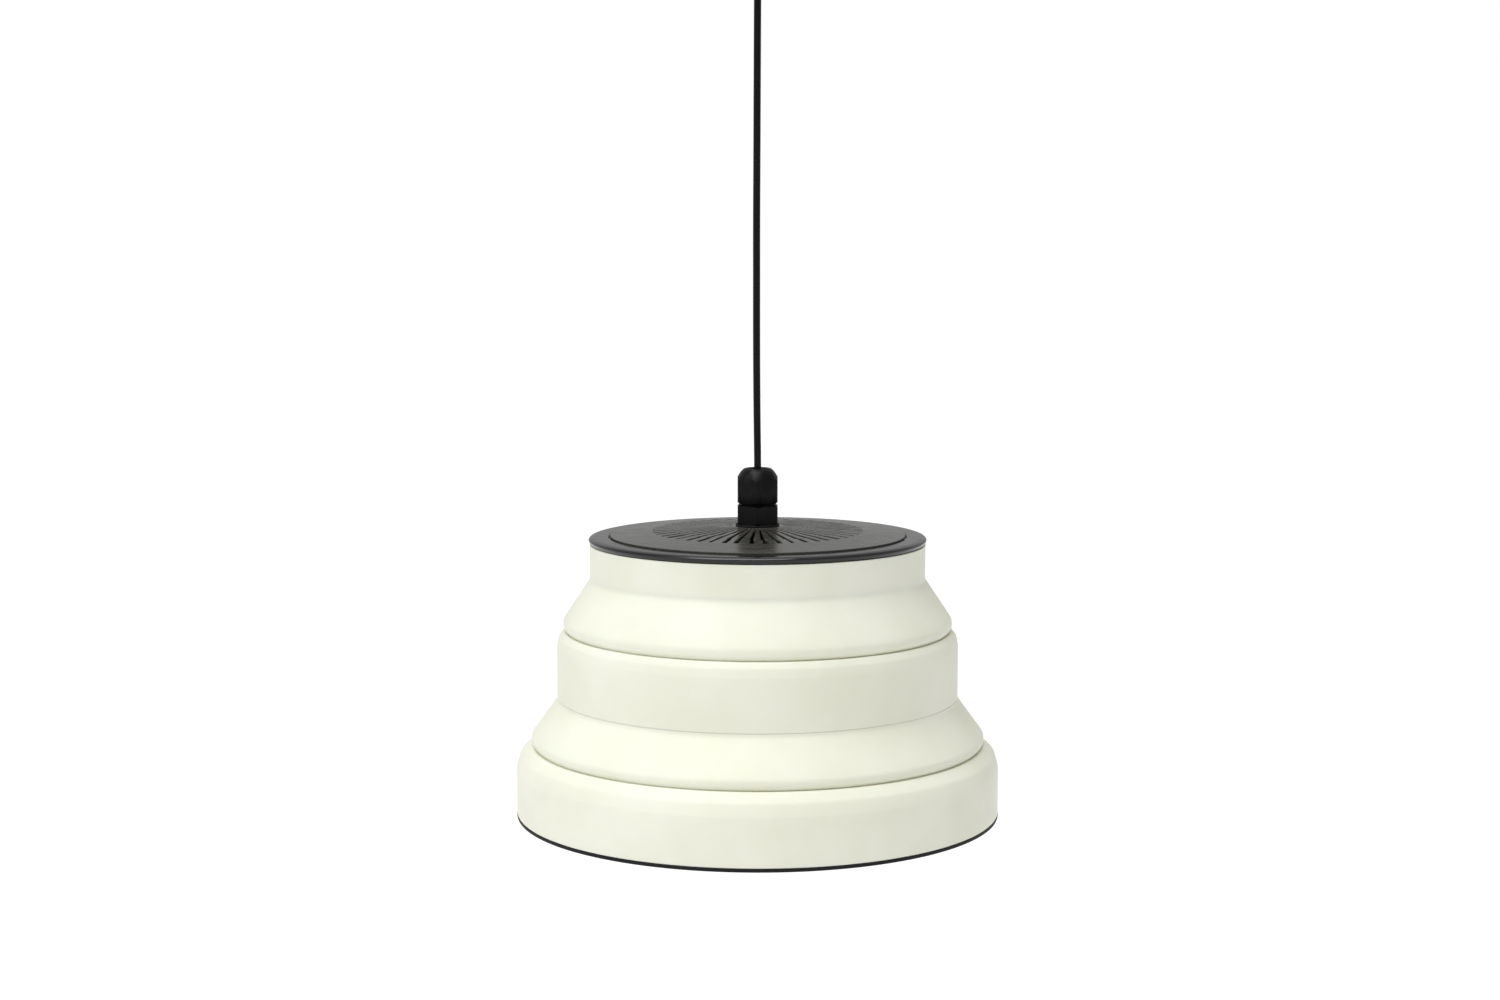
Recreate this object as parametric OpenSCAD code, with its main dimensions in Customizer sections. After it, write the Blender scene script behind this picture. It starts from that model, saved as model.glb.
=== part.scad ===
// Hanging insect killer with a reading light, under a fold-up silicone shade.
// The lamp hangs on its cord from a small ceiling fitting. The vented cap carries the
// light ring, the killing grid and its guard; the stepped shade folds up in two stages.
//
// Frame: the origin is the middle of the ceiling face, and +Z points up into the ceiling.
// Everything hangs below it. Inside the lamp, heights are counted from the underside of
// the shade's bottom trim, and on_lamp() carries them down to where the lamp hangs.

/* [Ceiling fitting] */
// Outer diameter of the ceiling cup
cup_d = 76; // [68:1:100]
// Height of the ceiling cup
cup_h = 31; // [28:1:36]
// Wall of the ceiling cup
cup_wall = 1.6; // [1.2:0.1:2.4]
// Distance between the two fixing screws
screw_spacing = 50; // [44:1:52]
// Diameter of the fixing holes
screw_hole_d = 4.5; // [3.5:0.1:5.5]
// Diameter of the swivel ball
ball_d = 16; // [13:0.2:18]
// Diameter of the cord
cord_d = 3.4; // [2.8:0.1:4.4]

/* [Shade] */
// Outer diameter of the shade's lower band
low_d = 230; // [215:1:280]
// Outer diameter of the shade's middle band
mid_d = 191; // [180:1:204]
// Outer diameter of the shade's collar
collar_d = 159.4; // [156:0.2:170]
// Wall of the three bands
band_wall = 2.2; // [1.8:0.1:2.8]
// Wall of the two folding webs
web_wall = 1.4; // [1:0.1:1.8]
// Height of the lower band up to its groove
low_h = 32.2; // [26:0.2:40]
// Height of the middle band up to its groove
mid_h = 31.5; // [26:0.5:40]
// Height of the lower web
low_web_h = 23; // [18:0.5:28]
// Height of the upper web
upper_web_h = 26; // [20:0.5:31]
// Height of the collar
collar_h = 15.3; // [13:0.1:18]
// How far the lower band turns in at its shoulder
low_shoulder_in = 7; // [3:0.5:8]
// Height of the lower band's rounded shoulder
low_shoulder_h = 10; // [6:0.5:12]
// How far the middle band turns in at its shoulder
mid_shoulder_in = 3; // [2.5:0.5:5]
// Height of the middle band's rounded shoulder
mid_shoulder_h = 7; // [5:0.5:10]
// Height of the black trim under the shade
trim_h = 1.8; // [1.2:0.1:3]

/* [Cap] */
// Height of the cap's rim ring
rim_h = 4.2; // [4:0.1:8]
// Diameter of the vent cover
cover_d = 140; // [134:1:142]
// Rise of the vent cover from its edge to the gland
cover_rise = 4; // [4:0.5:10]
// Thickness of the vent cover
cover_t = 2; // [1.6:0.1:2.6]
// Number of vent slots
slot_count = 48; // [24:2:60]
// Radius at which the slots start
slot_start_r = 12.5; // [12:0.5:20]
// Radius at which the slots end
slot_end_r = 50; // [30:1:56]
// Share of the pitch that a slot takes
slot_share = 0.36; // [0.2:0.02:0.5]

/* [Cable gland] */
// Across flats of the gland's nut and body
gland_af = 19; // [17:0.5:22]
// Diameter of the gland's thread
gland_thread_d = 15.8; // [13:0.2:16]
// Height of the gland's nut
nut_h = 17; // [14:0.5:22]
// Height of the gland's body hexagon
gland_hex_h = 9; // [6:0.5:12]

/* [Light ring] */
// Inner diameter of the light ring's lens
lens_inner_d = 119; // [118:1:121]
// Outer diameter of the light ring's lens
lens_outer_d = 141; // [140:0.5:141.5]
// Depth of the lens below the housing
lens_depth = 7; // [6:0.5:9]
// Number of white light diodes
led_count = 30; // [18:1:40]

/* [Killing grid] */
// Depth of the cage below the housing
cage_h = 22; // [18:0.1:24]
// Diameter of the circle of guard bars
guard_d = 108; // [104:1:108]
// Diameter of a guard bar
guard_bar_d = 2.4; // [1.8:0.1:3]
// Number of guard bars, and of grid bars
bar_count = 36; // [24:4:40]
// Diameter of the circle of live bars
live_d = 88; // [78:1:89]
// Gap between the circles of live and return bars
grid_gap = 4; // [3.4:0.1:5]
// Diameter of a grid bar
grid_bar_d = 1.2; // [1:0.1:1.6]
// Diameter of the clear lamp tube
tube_d = 33; // [28:1:40]
// Depth of the catch tray below the cage
tray_h = 9.5; // [8:0.5:14]

/* [Hidden] */
$fn = 96;

cut = 0.01;              // how far a cutter reaches past the face it cuts
over = 1;                // the same, where a cutter ends in the open
run_gap = 0.1;           // clearance of a ball in its socket and of the cord in its bores
slide_gap = 0.4;         // clearance between the tray or button and what it slides in
fold_gap = 0.3;          // gap between a web and the band that moves away from it
layer = 1.6;             // thickness of a circuit board
floor_t = 2;             // thickness of the housing's floor and flange
housing_wall = 1.5;      // wall of the housing's tub
tub_h = 8;               // height of the housing's tub below its flange
seam = 0.5;              // open joint between the vent cover and the rim ring

// The cord's route from the connector in the cap up to the grip: x, y, z in the row frame.
cord_points = [[0, 0, -304], [0, 0, -290], [0, 0, -275], [0, 0, -262], [-0.2, 0, -246],
    [-0.4, 0, -225], [-0.5, 0, -200], [-0.5, 0, -175], [-0.5, 0, -150], [-0.4, 0, -125],
    [-0.3, 0, -100], [-0.2, 0, -75], [-0.1, 0, -52], [0, 0, -38], [0, 0, -26], [0, 0, -12]];
cord_sides = 8;
gland_top_z = -265.6;    // where the gland meets the free cord

ball_z = -cup_h + 5;     // centre of the swivel ball
ball_bore_r = cord_d / 2 + run_gap;
plate_t = 1.5;
plate_gap = 2.6;         // between the plate's edge and the cup's wall
plate_r = cup_d / 2 - cup_wall - plate_gap;
cable_hole_y = -16;
cable_hole_r = 7;
tab_w = 12;
tab_h = 11;
cup_screw_z = -6;
cup_screw_d = 3;
cup_screw_head_d = 6;
cup_screw_head_h = 1.8;
cup_floor_t = 3;
cup_bend = 5;            // rounding of the cup's lower edge
block_size = [28, 11, 10];
block_y = 15;
block_pitch = 9;         // between two terminals
grip_z = ball_z + ball_d / 2 + 0.6;
grip_h = 7;
grip_r = 5;
grip_screw_d = 2.5;

// Heights in the lamp, counted up from the underside of the trim.
low_z = trim_h;
low_top = low_z + low_h;
mid_z = low_top + low_web_h;
mid_top = mid_z + mid_h;
collar_z = mid_top + upper_web_h;
collar_top = collar_z + collar_h;
rim_top = collar_top + rim_h;
boss_top = rim_top + cover_rise;
washer_t = 1;
nut_gap = 0.4;
gland_z = boss_top + washer_t;
spigot_z = gland_z + gland_hex_h;
nut_z = spigot_z + nut_gap;
gland_top = nut_z + nut_h;
lamp_z = gland_top_z - gland_top;

flange_top = collar_top - floor_t;
housing_z = flange_top - tub_h;
floor_top = housing_z + floor_t;
tub_r = 71;
flange_r = collar_d / 2 - band_wall - 0.3;
clamp_screw_r = (tub_r + flange_r) / 2;
clamp_r = 1.25;          // shank of the screws that clamp the collar
clamp_skin = 1.4;        // left of the rim ring above those screws' holes
board_z = floor_top + 2;
board_r = 64;
board_screw_r = 48;
board_post_r = 3;
pilot_r = 1;             // pilot hole and shank of the small screws

boss_r = 11.4;           // flat middle of the vent cover, under the gland
cover_r = cover_d / 2;
rim_lip = 0.6;           // how far the rim ring reaches past the collar
rim_r = collar_d / 2 + rim_lip;
ledge_r = cover_r - 4;   // inner radius of the ledge that the cover sits on
cover_screw_r = cover_r - 2;

cage_bottom = housing_z - cage_h;
guard_r = guard_d / 2;
live_r = live_d / 2;
return_r = live_r + grid_gap;
ring_margin = 3;         // how far the insulators reach past their bars
ring_t = 2.5;            // thickness of the guard's top ring
guard_head_r = 2.6;      // head of the screws that hold the guard
insulator_t = 3.5;
base_t = 2;
tube_r = tube_d / 2;
tube_wall = 1.5;
guard_ring_r = guard_r + guard_bar_d / 2 + 1.3;
guard_inner_r = guard_r - guard_bar_d / 2 - 0.8;
lens_wall = 1.2;
lens_z = housing_z - lens_depth;
light_r = (lens_inner_d + lens_outer_d) / 4;
button_r = 4;
button_h = 5;
button_flange = 1;
button_flange_t = 0.9;
button_angle = -90;
wire_hole_r = 4;         // way down for the lamp's wires
grid_wire_r = 1;         // way down for the grid's wires
tray_wall = 1.4;
tray_lip = 3.5;          // width of the tray's inner ledge
tab_size = [7, 20, 2.5]; // the tray's pull tabs
tray_r = guard_ring_r + slide_gap + tray_wall;
tray_z = cage_bottom - tray_h;

// ---------- shared shapes ----------

module on_lamp() { translate([0, 0, lamp_z]) children(); }

module ring(outer_r, inner_r, z0, z1) {
    translate([0, 0, z0]) difference() {
        cylinder(r = outer_r, h = z1 - z0);
        translate([0, 0, -cut]) cylinder(r = inner_r, h = z1 - z0 + 2 * cut);
    }
}

module rod(r, z0, z1) { translate([0, 0, z0]) cylinder(r = r, h = z1 - z0); }

module hexagon(af, z0, z1, turn = 0) {
    rotate([0, 0, turn]) translate([0, 0, z0]) cylinder(d = af / cos(30), h = z1 - z0, $fn = 6);
}

module around(count, r, start = 0) {
    for (i = [0 : count - 1]) rotate([0, 0, start + i * 360 / count]) translate([r, 0, 0]) children();
}

module pan_screw(shank_r, head_r, z_head, head_h, length) {
    translate([0, 0, z_head]) cylinder(r = head_r, h = head_h);
    translate([0, 0, z_head + head_h - cut]) cylinder(r = shank_r, h = length + cut);
}

// A quarter of an oval from (r + dr, z) up and in to (r, z + dz), as profile points.
function quarter(r, dr, z, dz, steps) =
    [for (i = [0 : steps]) let (a = 90 * i / steps) [r + dr * cos(a), z + dz * sin(a)]];

function reversed(list) = [for (i = [len(list) - 1 : -1 : 0]) list[i]];

// A band of the shade: a straight wall, then a rounded shoulder that turns in to its groove.
module shade_band(outer_r, z0, z1, turn_in, turn_h) {
    groove_r = outer_r - turn_in;
    inner_r = groove_r - 0.4 * band_wall;
    outside = quarter(groove_r, turn_in, z1 - turn_h, turn_h, 7);
    inside = quarter(inner_r, outer_r - band_wall - inner_r, z1 - turn_h, turn_h - band_wall, 7);
    rotate_extrude() polygon(concat([[outer_r - band_wall, z0], [outer_r, z0]], outside, reversed(inside)));
}

// A ramp from 0 to 1 that is level before t = 0.17 and after t = 0.97, with rounded corners.
function bent(t) = t + sqrt(t * t + 0.003);
function ramp(t) = (bent(t - 0.17) - bent(t - 0.97)) / 1.6;

// A folding web: a thin wall with an upright foot, then a straight slope up to the next band.
module shade_web(bottom_r, top_r, z0, z1) {
    steps = 10;
    outside = [for (i = [0 : steps]) let (t = (ramp(i / steps) - ramp(0)) / (ramp(1) - ramp(0)))
        [bottom_r + (top_r - bottom_r) * t, z0 + (z1 - z0) * i / steps]];
    rotate_extrude() polygon(concat(outside, [for (p = reversed(outside)) [p[0] - web_wall, p[1]]]));
}

// ---------- ceiling fitting ----------

module ceiling_plate() color("silver") {
    difference() {
        union() {
            rod(plate_r, -plate_t, 0);
            for (side = [-1, 1]) translate([side * (plate_r - plate_t / 2), 0, -tab_h / 2])
                cube([plate_t, tab_w, tab_h], center = true);
        }
        for (side = [-1, 1]) {
            translate([side * screw_spacing / 2, 0, -plate_t - cut])
                cylinder(d = screw_hole_d, h = plate_t + 2 * cut);
            translate([0, 0, cup_screw_z]) rotate([0, side * 90, 0])
                translate([0, 0, plate_r - 2 * plate_t]) cylinder(d = cup_screw_d, h = 3 * plate_t);
        }
        translate([0, cable_hole_y, -plate_t - cut]) cylinder(r = cable_hole_r, h = plate_t + 2 * cut);
    }
}

module ceiling_cup() color("#17171a") {
    r = cup_d / 2;
    difference() {
        rotate_extrude() polygon(concat(
            [[0, -cup_h], [r - cup_bend, -cup_h]],
            [for (a = [10 : 10 : 90]) [r - cup_bend * (1 - sin(a)), -cup_h + cup_bend * (1 - cos(a))]],
            [[r, 0], [r - cup_wall, 0], [r - cup_wall, -cup_h + cup_bend + 1],
             [r - cup_bend, -cup_h + cup_floor_t], [0, -cup_h + cup_floor_t]]));
        translate([0, 0, ball_z]) sphere(r = ball_d / 2 + run_gap);
        for (side = [-1, 1]) translate([0, 0, cup_screw_z]) rotate([0, side * 90, 0])
            translate([0, 0, r - 3 * cup_wall]) cylinder(d = cup_screw_d + 0.4, h = 4 * cup_wall);
    }
}

module cup_screws() color("#2a2a2d") {
    head_h = cup_screw_head_h;
    length = cup_d / 2 - plate_r + 2;
    for (side = [-1, 1]) translate([side * (cup_d / 2 + head_h), 0, cup_screw_z])
            rotate([0, -side * 90, 0]) {
        cylinder(d = cup_screw_head_d, h = head_h);
        cylinder(d = cup_screw_d, h = head_h + length);
    }
}

module terminal_block() color("ivory") {
    low = -plate_t - block_size[2];
    wire_d = 3;
    screw_d = 4;
    difference() {
        translate([-block_size[0] / 2, block_y, low]) cube(block_size);
        for (i = [-1 : 1]) translate([i * block_pitch, block_y, 0]) {
            translate([0, -over, -plate_t - 4]) rotate([-90, 0, 0])
                cylinder(d = wire_d, h = block_size[1] + 2 * over);
            translate([0, block_size[1] / 2, low - cut]) cylinder(d = screw_d, h = 3);
        }
    }
}

// ---------- ball, grip and cord ----------

module swivel_ball() color("#202022") {
    difference() {
        translate([0, 0, ball_z]) sphere(r = ball_d / 2);
        rod(ball_bore_r, ball_z - ball_d, ball_z + ball_d);
    }
}

module cord_grip() color("gainsboro") {
    difference() {
        rod(grip_r, grip_z, grip_z + grip_h);
        rod(ball_bore_r, grip_z - over, grip_z + grip_h + over);
        translate([0, 0, grip_z + grip_h / 2]) rotate([0, 90, 0])
            cylinder(d = grip_screw_d, h = grip_r + over);
    }
    translate([ball_bore_r, 0, grip_z + grip_h / 2]) rotate([0, 90, 0])
        cylinder(d = grip_screw_d, h = grip_r + 0.8 - ball_bore_r);
}

// A smooth curve through the cord's points: t runs from 0 to 1 between points i and i + 1.
function cord_point(i) = cord_points[max(0, min(len(cord_points) - 1, i))];
function cord_curve(i, t) = 0.5 * ((2 * cord_point(i)) + (cord_point(i + 1) - cord_point(i - 1)) * t
    + (2 * cord_point(i - 1) - 5 * cord_point(i) + 4 * cord_point(i + 1) - cord_point(i + 2)) * t * t
    + (3 * cord_point(i) - cord_point(i - 1) - 3 * cord_point(i + 1) + cord_point(i + 2)) * t * t * t);

module power_cord() color("#141416") {
    last = len(cord_points) - 1;
    path = concat([for (i = [0 : last - 1], t = [0, 0.5]) cord_curve(i, t)], [cord_point(last)]);
    rings = len(path);
    corners = [for (p = path, s = [0 : cord_sides - 1]) let (a = 360 * s / cord_sides)
        [p[0] + cord_d / 2 * cos(a), p[1] + cord_d / 2 * sin(a), p[2]]];
    sides = [for (i = [0 : rings - 2], s = [0 : cord_sides - 1]) let (
        a = i * cord_sides + s, b = i * cord_sides + (s + 1) % cord_sides)
        [a, a + cord_sides, b + cord_sides, b]];
    bottom = [for (s = [0 : cord_sides - 1]) s];
    top = [for (s = [cord_sides - 1 : -1 : 0]) (rings - 1) * cord_sides + s];
    polyhedron(points = corners, faces = concat([bottom], sides, [top]));
}

// ---------- cable gland ----------

module gland_nut() color("#101012") on_lamp() {
    top = nut_z + nut_h;
    mouth_r = 5.6;
    corner_r = gland_af / 2 + 1.1;
    difference() {
        intersection() {
            hexagon(gland_af, nut_z, top, 30);
            rotate_extrude() polygon(concat(
                [[0, nut_z], [corner_r - 0.6, nut_z], [corner_r, nut_z + 0.6]],
                quarter(mouth_r, corner_r - mouth_r, top - 6.5, 6.5, 8), [[0, top]]));
        }
        rod(gland_thread_d / 2 - 0.1, nut_z - cut, nut_z + nut_h - 6);
        rod(mouth_r - 0.9, nut_z, top + 1);
    }
}

module gland_seal() color("#1c1c1e") on_lamp() {
    r = 4.6;
    rotate_extrude() polygon([[ball_bore_r, spigot_z], [r, spigot_z], [r, gland_top - 1.6],
        [r - 0.8, gland_top - 0.5], [ball_bore_r + 0.6, gland_top - 0.3], [ball_bore_r, gland_top - 0.9]]);
}

module gland_body() color("#131315") on_lamp() {
    spigot_r = gland_thread_d / 2 - 0.4;
    difference() {
        union() {
            intersection() {
                hexagon(gland_af, gland_z, spigot_z, 30);
                rod(gland_af / 2 + 1.2, gland_z, spigot_z);
            }
            rod(spigot_r, spigot_z - cut, nut_z + nut_h - 6.4);
            rod(gland_thread_d / 2, boss_top - cover_t - 5.5, gland_z + cut);
        }
        rod(4.7, spigot_z, gland_top);
        rod(cord_d / 2 + 1, boss_top - 20, gland_top);
    }
}

module gland_washer() color("#26262a") on_lamp() {
    ring(gland_af / 2 + 0.9, gland_thread_d / 2, boss_top, gland_z);
}

module gland_locknut() color("#141416") on_lamp() {
    under = boss_top - cover_t;
    difference() {
        hexagon(gland_thread_d + 3.8, under - 4, under);
        rod(gland_thread_d / 2, under - 5, under + 1);
    }
}

// ---------- cap ----------

function dome(r) = rim_top + cover_rise * (1 - pow((r - boss_r) / (cover_r - boss_r), 1.25));

module vent_cover() color("#3a3a3c") on_lamp() {
    steps = 9;
    top = [for (i = [0 : steps]) let (r = boss_r + (cover_r - boss_r) * i / steps) [r, dome(r)]];
    slot_w = 2 * PI / slot_count * slot_share;
    difference() {
        rotate_extrude() polygon(concat([[0, boss_top]], top,
            [for (p = reversed(top)) [p[0], p[1] - cover_t]], [[0, boss_top - cover_t]]));
        rod(gland_thread_d / 2, boss_top - 10, boss_top + 1);
        around(slot_count, 0, 180 / slot_count) translate([0, 0, rim_top - 5]) linear_extrude(15)
            polygon([[slot_start_r, -slot_start_r * slot_w / 2], [slot_end_r, -slot_end_r * slot_w / 2],
                [slot_end_r, slot_end_r * slot_w / 2], [slot_start_r, slot_start_r * slot_w / 2]]);
        around(4, cover_screw_r, 45) rod(1, rim_top - 2 * cover_t, rim_top - 0.7);
    }
}

module cover_screws() color("silver") on_lamp() {
    around(4, cover_screw_r, 45)
        pan_screw(1, 1.9, collar_top - 1.6, 1.6, rim_top - 0.8 - collar_top);
}

module cap_ring() color("#2b2b2d") on_lamp() {
    crown = 0.8;         // how far the rim's top sinks towards its edge
    nose = 2;            // height of the widest line below the rim's top
    inner_r = cover_r + seam;
    difference() {
        rotate_extrude() polygon([[ledge_r, collar_top], [rim_r - 1, collar_top],
            [rim_r - 0.2, collar_top + 1.2], [rim_r, rim_top - nose], [rim_r - 0.6, rim_top - nose + 0.7],
            [rim_r - 2.2, rim_top - crown], [inner_r + 0.4, rim_top], [inner_r, rim_top - 0.4],
            [inner_r, rim_top - cover_t], [ledge_r, rim_top - cover_t]]);
        around(4, cover_screw_r, 45) rod(pilot_r + 0.2, collar_top - over, rim_top);
        around(6, clamp_screw_r) rod(clamp_r, collar_top - over, rim_top - clamp_skin);
    }
}

module cap_screws() color("silver") on_lamp() {
    head_h = 1.8;
    around(6, clamp_screw_r) pan_screw(clamp_r, clamp_r + 1.15, flange_top - floor_t - head_h, head_h,
        2 * floor_t + rim_h - clamp_skin - 0.2);
}

module shade_collar() color("ivory") on_lamp() {
    r = collar_d / 2;
    difference() {
        rotate_extrude() polygon([[r - band_wall, collar_z], [r, collar_z], [r, collar_top],
            [tub_r + 1, collar_top], [tub_r + 1, flange_top], [r - band_wall, flange_top]]);
        around(6, clamp_screw_r) rod(clamp_r + 0.25, flange_top - over, collar_top + over);
    }
}

// ---------- housing and electronics ----------

module housing() color("#222224") on_lamp() {
    inner_r = tub_r - housing_wall;
    difference() {
        rotate_extrude() polygon([[0, housing_z], [tub_r, housing_z], [tub_r, flange_top - floor_t],
            [flange_r, flange_top - floor_t], [flange_r, flange_top], [inner_r, flange_top],
            [inner_r, floor_top], [0, floor_top]]);
        rod(wire_hole_r, housing_z - over, floor_top + over);
        around(6, clamp_screw_r) rod(clamp_r + 0.25, flange_top - floor_t - over, flange_top + over);
        around(4, guard_r, 45) rod(pilot_r + 0.3, housing_z - over, floor_top + over);
        around(2, live_r, 5) rod(grid_wire_r, housing_z - over, floor_top + over);
    }
    around(4, board_screw_r, 20) ring(board_post_r, pilot_r, floor_top - cut, board_z);
}

module driver_board() color("#1d5a34") on_lamp() {
    difference() {
        rod(board_r, board_z, board_z + layer);
        around(4, board_screw_r, 20) rod(pilot_r + 0.5, board_z - over, board_z + layer + over);
        around(4, guard_r, 45) rod(guard_head_r + 1.4, board_z - over, board_z + layer + over);
    }
}

module board_screws() color("silver") on_lamp() {
    around(4, board_screw_r, 20) {
        rod(2.4, board_z + layer, board_z + layer + 1.6);
        rod(pilot_r, floor_top, board_z + layer + cut);
    }
}

module cord_connector() color("white") on_lamp() {
    top = board_z + layer;
    bottom_of_cord = cord_points[0][2] - lamp_z;
    difference() {
        translate([-5, -4, top]) cube([10, 8, bottom_of_cord + 2.5 - top]);
        rod(ball_bore_r, bottom_of_cord, bottom_of_cord + 5);
    }
}

module hv_transformer() color("#c9a227") on_lamp() {
    top = board_z + layer;
    size = [20, 22, 8];
    window = [12, 3, 5];  // where the winding shows on each side
    translate([-38, -size[1] / 2, top]) difference() {
        cube(size);
        for (y = [-over, size[1] - window[1] + over])
            translate([(size[0] - window[0]) / 2, y, 2]) cube(window);
    }
}

module capacitors() color("#27408b") on_lamp() {
    top = board_z + layer;
    can_d = 10;
    can_h = 7.8;
    for (y = [-14, 0, 14]) translate([24 + abs(y) / 3, y, top]) {
        cylinder(d = can_d, h = can_h);
        translate([0, 0, can_h - cut]) cylinder(d = can_d - 1.4, h = 0.5);
    }
}

// ---------- light ring and its button ----------

module light_board() color("whitesmoke") on_lamp() {
    rim = lens_wall + 0.3;
    ring(lens_outer_d / 2 - rim, lens_inner_d / 2 + rim, housing_z - layer, housing_z);
}

module light_diodes() color("khaki") on_lamp() {
    step = 360 / (led_count + 1);
    size = [2.8, 3.5, 0.8];
    for (i = [1 : led_count]) rotate([0, 0, button_angle + i * step])
        translate([light_r, 0, housing_z - layer - size[2] / 2]) cube(size, center = true);
}

module light_lens() color("ghostwhite") on_lamp() {
    difference() {
        ring(lens_outer_d / 2, lens_inner_d / 2, lens_z, housing_z);
        ring(lens_outer_d / 2 - lens_wall, lens_inner_d / 2 + lens_wall, lens_z + lens_wall, housing_z + 1);
        rotate([0, 0, button_angle]) translate([light_r, 0, 0])
            rod(button_r - button_flange + slide_gap, lens_z - 1, housing_z);
    }
}

module push_button() color("#e06a1f") on_lamp() {
    stem_r = button_r - button_flange;
    flange_z = lens_z + lens_wall + 0.1;
    rotate([0, 0, button_angle]) translate([light_r, 0, 0]) {
        rod(stem_r, flange_z - button_h + 1, flange_z + cut);
        rod(button_r, flange_z, flange_z + button_flange_t);
    }
}

module switch_dome() color("dimgray") on_lamp() {
    foot = housing_z - layer;
    head = lens_z + lens_wall + 0.1 + button_flange_t + 0.1;
    rotate([0, 0, button_angle]) translate([light_r, 0, 0]) rotate_extrude()
        polygon([[0, head], [2, head], [3.6, foot - 0.6], [4.2, foot - 0.6], [4.2, foot], [3, foot],
            [1.6, head + 0.6], [0, head + 0.6]]);
}

// ---------- lamp tube and killing grid ----------

module uv_post() color("silver") on_lamp() {
    difference() {
        hexagon(14, cage_bottom + 4.5, housing_z);
        rod(4, cage_bottom + 4, housing_z + 1);
    }
}

module uv_diodes() color("mediumpurple") on_lamp() {
    for (i = [0 : 5], k = [0, 1]) rotate([0, 0, 30 + i * 60])
        translate([7.4, 0, cage_bottom + 8.5 + k * 7]) cube([0.8, 3.5, 3.5], center = true);
}

module lamp_tube() color("lavender", 0.4) on_lamp() {
    difference() {
        rod(tube_r, cage_bottom + base_t, housing_z);
        rod(tube_r - tube_wall, cage_bottom + base_t + tube_wall, housing_z + 1);
    }
}

module grid_bus_rings() color("darkgoldenrod") on_lamp() {
    for (r = [live_r, return_r]) ring(r + 0.8, r - 0.8, housing_z - 1, housing_z);
}

module insulator(z0, z1, bar_z0, bar_z1) {
    difference() {
        ring(return_r + ring_margin, live_r - ring_margin, z0, z1);
        around(bar_count / 2, live_r, 180 / bar_count) rod(grid_bar_d / 2, bar_z0, bar_z1);
        around(bar_count / 2, return_r, 540 / bar_count) rod(grid_bar_d / 2, bar_z0, bar_z1);
    }
}

module upper_insulator() color("#ddd8c8") on_lamp() {
    difference() {
        insulator(housing_z - insulator_t, housing_z, housing_z - insulator_t - 1, housing_z - 1);
        for (r = [live_r, return_r]) ring(r + 0.8, r - 0.8, housing_z - 1, housing_z + 1);
    }
}

module lower_insulator() color("#ddd8c8") on_lamp() {
    insulator(cage_bottom + base_t, cage_bottom + base_t + 2, cage_bottom + base_t + 0.5, housing_z);
}

module grid_bars(r, start) {
    around(bar_count / 2, r, start) rod(grid_bar_d / 2, cage_bottom + base_t + 0.5, housing_z - 1);
}

module live_bars() color("lightsteelblue") on_lamp() { grid_bars(live_r, 180 / bar_count); }

module return_bars() color("lightsteelblue") on_lamp() { grid_bars(return_r, 540 / bar_count); }

module guard_top_ring() color("#2a2a2c") on_lamp() {
    difference() {
        ring(guard_ring_r, guard_inner_r, housing_z - ring_t, housing_z);
        around(4, guard_r, 45) rod(pilot_r, housing_z - ring_t + 0.5, housing_z + over);
    }
}

module guard_bars() color("#2f2f31") on_lamp() {
    around(bar_count, guard_r, 180 / bar_count)
        rod(guard_bar_d / 2, cage_bottom + base_t, housing_z - ring_t);
}

module guard_base() color("#2a2a2c") on_lamp() {
    insulator_r = return_r + ring_margin;
    z0 = cage_bottom;
    z1 = cage_bottom + base_t;
    ring(guard_ring_r, guard_inner_r, z0, z1);
    ring(insulator_r, live_r - ring_margin, z0, z1);
    ring(tube_r, tube_r - 3, z0, z1);
    for (i = [0 : 5]) rotate([0, 0, 30 + i * 60]) {
        translate([insulator_r - 0.5, -2, z0]) cube([guard_inner_r - insulator_r + 1, 4, base_t]);
        translate([tube_r - 0.5, -2, z0]) cube([live_r - ring_margin - tube_r + 1, 4, base_t]);
    }
}

module guard_screws() color("silver") on_lamp() {
    around(4, guard_r, 45) {
        rod(guard_head_r, floor_top, floor_top + 1.8);
        rod(pilot_r, housing_z - ring_t + 0.6, floor_top + cut);
    }
}

module catch_tray() color("#2d2d30") on_lamp() {
    inner_r = tray_r - tray_wall;
    ledge_top = cage_bottom - fold_gap;
    difference() {
        union() {
            rod(tray_r, tray_z, cage_bottom + base_t);
            for (side = [-1, 1]) translate([side * (tray_r + 0.5), 0, tray_z + tab_size[2] / 2])
                cube(tab_size, center = true);
        }
        rod(inner_r, ledge_top, cage_bottom + base_t + over);
        rod(inner_r - tray_lip, tray_z + tray_wall, cage_bottom + over);
        rod(inner_r, tray_z + tray_wall, ledge_top - 1.5);
    }
}

// ---------- shade ----------

module shade_upper_web() color("ivory") on_lamp() {
    shade_web(mid_d / 2 - mid_shoulder_in, collar_d / 2, mid_top + fold_gap, collar_z);
}

module shade_middle_band() color("ivory") on_lamp() {
    shade_band(mid_d / 2, mid_z, mid_top, mid_shoulder_in, mid_shoulder_h);
}

module shade_lower_web() color("ivory") on_lamp() {
    shade_web(low_d / 2 - low_shoulder_in, mid_d / 2, low_top + fold_gap, mid_z);
}

module shade_lower_band() color("ivory") on_lamp() {
    shade_band(low_d / 2, low_z, low_top, low_shoulder_in, low_shoulder_h);
}

module bottom_trim() color("#1a1a1c") on_lamp() {
    r = low_d / 2 + 0.1;
    ring(r, r - band_wall - 0.6, 0, trim_h);
}

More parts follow.
